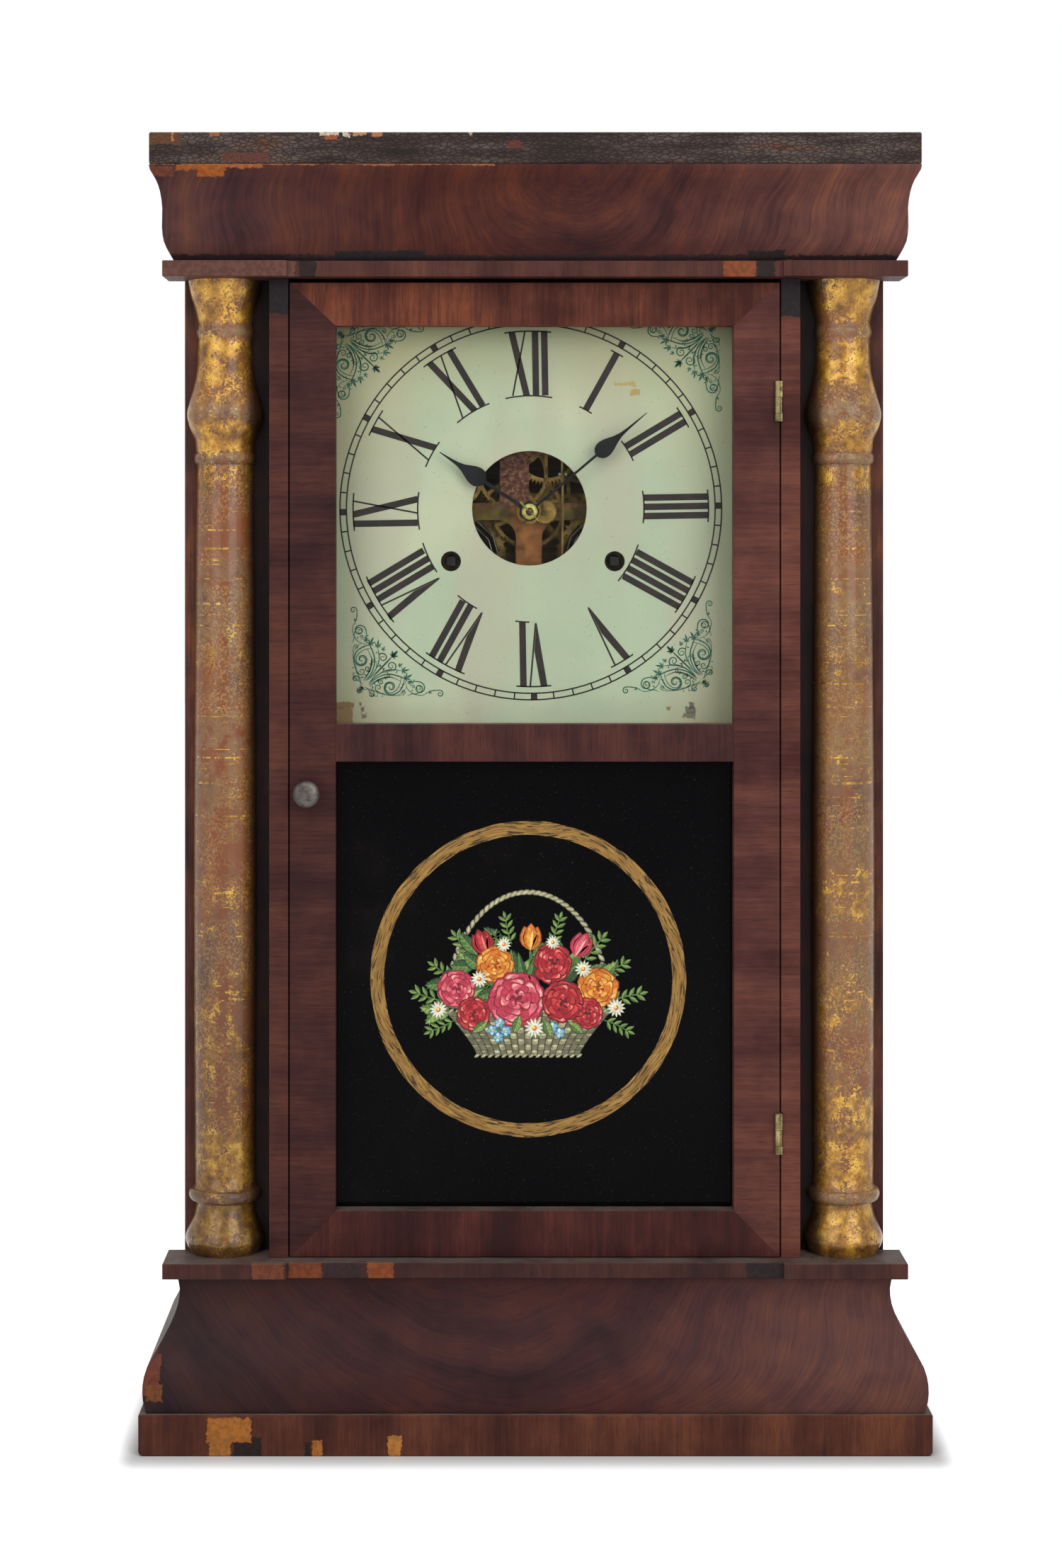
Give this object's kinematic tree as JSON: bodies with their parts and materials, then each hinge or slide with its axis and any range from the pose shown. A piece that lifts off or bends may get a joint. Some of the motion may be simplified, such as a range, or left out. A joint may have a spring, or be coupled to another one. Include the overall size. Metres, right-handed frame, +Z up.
{
  "type": "column and cornice shelf clock",
  "caption": "Wooden shelf clock with half-round columns, a glazed door and a spring-driven movement that shows and strikes the hours.",
  "frame": {"origin": "middle of the underside of the plinth, at the middle of the whole clock's width and depth", "axes": "front faces -Y, +X to the right seen from the front, +Z up"},
  "size_m": [0.381, 0.121, 0.635],
  "materials": {
    "veneer": "polished dark veneer",
    "dark_wood": "aged dark finish",
    "pine": "bare softwood",
    "gilt": "worn gilding",
    "dial_paint": "matt paint",
    "clear_glass": "clear",
    "painted_glass": "black painted on the back",
    "brass": "dull",
    "steel": "dull",
    "black_iron": "blackened"
  },
  "bodies": {
    "case": {"plinth": "veneer", "base_moulding": "veneer", "lower_shelf": "veneer", "case_floor": "pine", "upper_shelf": "veneer", "cornice_moulding": "dark_wood", "top_board": "dark_wood", "back_board": "pine", "case_side_left": "veneer", "case_side_right": "veneer", "column_board_left": "dark_wood", "column_board_right": "dark_wood", "door_jamb_left": "veneer", "door_jamb_right": "veneer", "column_left": "gilt", "column_right": "gilt", "dial_plate": "dial_paint", "hinge_upper_case_leaf": "brass", "hinge_lower_case_leaf": "brass", "hinge_upper_pin": "steel", "hinge_lower_pin": "steel", "front_plate": "brass", "back_plate": "brass", "movement_board": "pine", "time_mainspring": "steel", "strike_mainspring": "steel", "gong_coil": "steel", "gong_post": "black_iron"},
    "door": {"door_stile_left": "veneer", "door_stile_right": "veneer", "door_rail_top": "veneer", "door_rail_middle": "veneer", "door_rail_bottom": "veneer", "dial_glass": "clear_glass", "tablet_glass": "painted_glass", "hinge_upper_door_leaf": "brass", "hinge_lower_door_leaf": "brass"},
    "latch": {"door_knob": "steel", "latch_tongue": "brass"},
    "centre_arbor": {"centre_wheel": "brass", "minute_hand": "black_iron", "hand_washer_and_pin": "brass"},
    "hour_pipe": {"hour_wheel": "brass", "hour_hand": "black_iron"},
    "minute_stud_wheel": {"minute_wheel": "brass"},
    "time_great": {"time_great_wheel": "brass"},
    "time_winder": {"time_winding_arbor": "steel"},
    "time_second": {"time_second_wheel": "brass"},
    "third": {"third_wheel": "brass"},
    "escape": {"escape_wheel": "brass"},
    "verge": {"verge_and_crutch": "steel"},
    "pendulum": {"pendulum_rod": "steel", "pendulum_bob": "brass"},
    "strike_great": {"strike_great_wheel": "brass"},
    "strike_winder": {"strike_winding_arbor": "steel"},
    "strike_second": {"strike_second_wheel": "brass"},
    "strike_third": {"strike_third_wheel": "brass"},
    "strike_fly": {"fly": "brass"},
    "counting": {"count_wheel": "brass"},
    "striker": {"hammer": "steel"}
  },
  "joints": [
    {"name": "door_swing", "type": "hinge", "parent": "case", "child": "door", "pos_m": [0.1182, -0.0414, 0.3284], "axis": [0, 0, 1], "range_deg": [0, 110]},
    {"name": "latch_turn", "type": "hinge", "parent": "door", "child": "latch", "pos_m": [-0.1107, -0.0398, 0.316], "axis": [0, 1, 0], "range_deg": [0, 90]},
    {"name": "minute_hand_turn", "type": "hinge", "parent": "case", "child": "centre_arbor", "pos_m": [-0.0022, -0.0025, 0.453], "axis": [0, 1, 0], "continuous": true},
    {"name": "hour_hand_turn", "type": "hinge", "parent": "case", "child": "hour_pipe", "pos_m": [-0.0022, -0.0085, 0.453], "axis": [0, 1, 0], "continuous": true},
    {"name": "minute_wheel_turn", "type": "hinge", "parent": "case", "child": "minute_stud_wheel", "pos_m": [0.0058, -0.006, 0.453], "axis": [0, 1, 0], "continuous": true},
    {"name": "time_great_wheel_turn", "type": "hinge", "parent": "case", "child": "time_great", "pos_m": [0.04, 0.0265, 0.4285], "axis": [0, 1, 0], "continuous": true},
    {"name": "time_winding", "type": "hinge", "parent": "time_great", "child": "time_winder", "pos_m": [0.04, 0, 0.4285], "axis": [0, 1, 0], "continuous": true},
    {"name": "time_second_wheel_turn", "type": "hinge", "parent": "case", "child": "time_second", "pos_m": [0.01968, 0.0321, 0.45526], "axis": [0, 1, 0], "continuous": true},
    {"name": "third_wheel_turn", "type": "hinge", "parent": "case", "child": "third", "pos_m": [-0.01006, 0.0071, 0.47189], "axis": [0, 1, 0], "continuous": true},
    {"name": "escape_wheel_turn", "type": "hinge", "parent": "case", "child": "escape", "pos_m": [0.0065, 0.002, 0.4848], "axis": [0, 1, 0], "continuous": true},
    {"name": "pendulum_swing", "type": "hinge", "parent": "case", "child": "pendulum", "pos_m": [0.0144, -0.013, 0.513], "axis": [0, 1, 0], "range_deg": [-3, 3]},
    {"name": "verge_rock", "type": "hinge", "parent": "case", "child": "verge", "pos_m": [0.0144, 0.002, 0.507], "axis": [0, 1, 0], "range_deg": [-3.55, 3.55]},
    {"name": "strike_second_wheel_turn", "type": "hinge", "parent": "case", "child": "strike_second", "pos_m": [-0.04393, 0.0321, 0.46197], "axis": [0, 1, 0], "continuous": true},
    {"name": "strike_great_wheel_turn", "type": "hinge", "parent": "case", "child": "strike_great", "pos_m": [-0.041, 0.0265, 0.4285], "axis": [0, 1, 0], "continuous": true},
    {"name": "strike_winding", "type": "hinge", "parent": "strike_great", "child": "strike_winder", "pos_m": [-0.041, 0, 0.4285], "axis": [0, 1, 0], "continuous": true},
    {"name": "strike_third_wheel_turn", "type": "hinge", "parent": "case", "child": "strike_third", "pos_m": [-0.04018, 0.0141, 0.48324], "axis": [0, 1, 0], "continuous": true},
    {"name": "fly_turn", "type": "hinge", "parent": "case", "child": "strike_fly", "pos_m": [-0.04309, 0.0235, 0.49979], "axis": [0, 1, 0], "continuous": true},
    {"name": "count_wheel_turn", "type": "hinge", "parent": "case", "child": "counting", "pos_m": [-0.041, -0.0059, 0.47], "axis": [0, 1, 0], "continuous": true},
    {"name": "hammer_swing", "type": "hinge", "parent": "case", "child": "striker", "pos_m": [-0.022, 0.0295, 0.394], "axis": [0, 1, 0], "range_deg": [0, 10]}
  ],
  "couplings": [
    {"joint": "hour_hand_turn", "follows": "minute_hand_turn", "ratio": 0.083333},
    {"joint": "minute_wheel_turn", "follows": "minute_hand_turn", "ratio": -0.33333},
    {"joint": "time_second_wheel_turn", "follows": "minute_hand_turn", "ratio": -0.25},
    {"joint": "time_great_wheel_turn", "follows": "minute_hand_turn", "ratio": 0.041667},
    {"joint": "third_wheel_turn", "follows": "minute_hand_turn", "ratio": -10},
    {"joint": "escape_wheel_turn", "follows": "minute_hand_turn", "ratio": 60},
    {"joint": "verge_rock", "follows": "pendulum_swing", "ratio": 1.1667},
    {"joint": "strike_great_wheel_turn", "follows": "strike_second_wheel_turn", "ratio": -0.16667},
    {"joint": "strike_third_wheel_turn", "follows": "strike_second_wheel_turn", "ratio": -8},
    {"joint": "fly_turn", "follows": "strike_second_wheel_turn", "ratio": 56},
    {"joint": "count_wheel_turn", "follows": "strike_second_wheel_turn", "ratio": -0.10256}
  ]
}
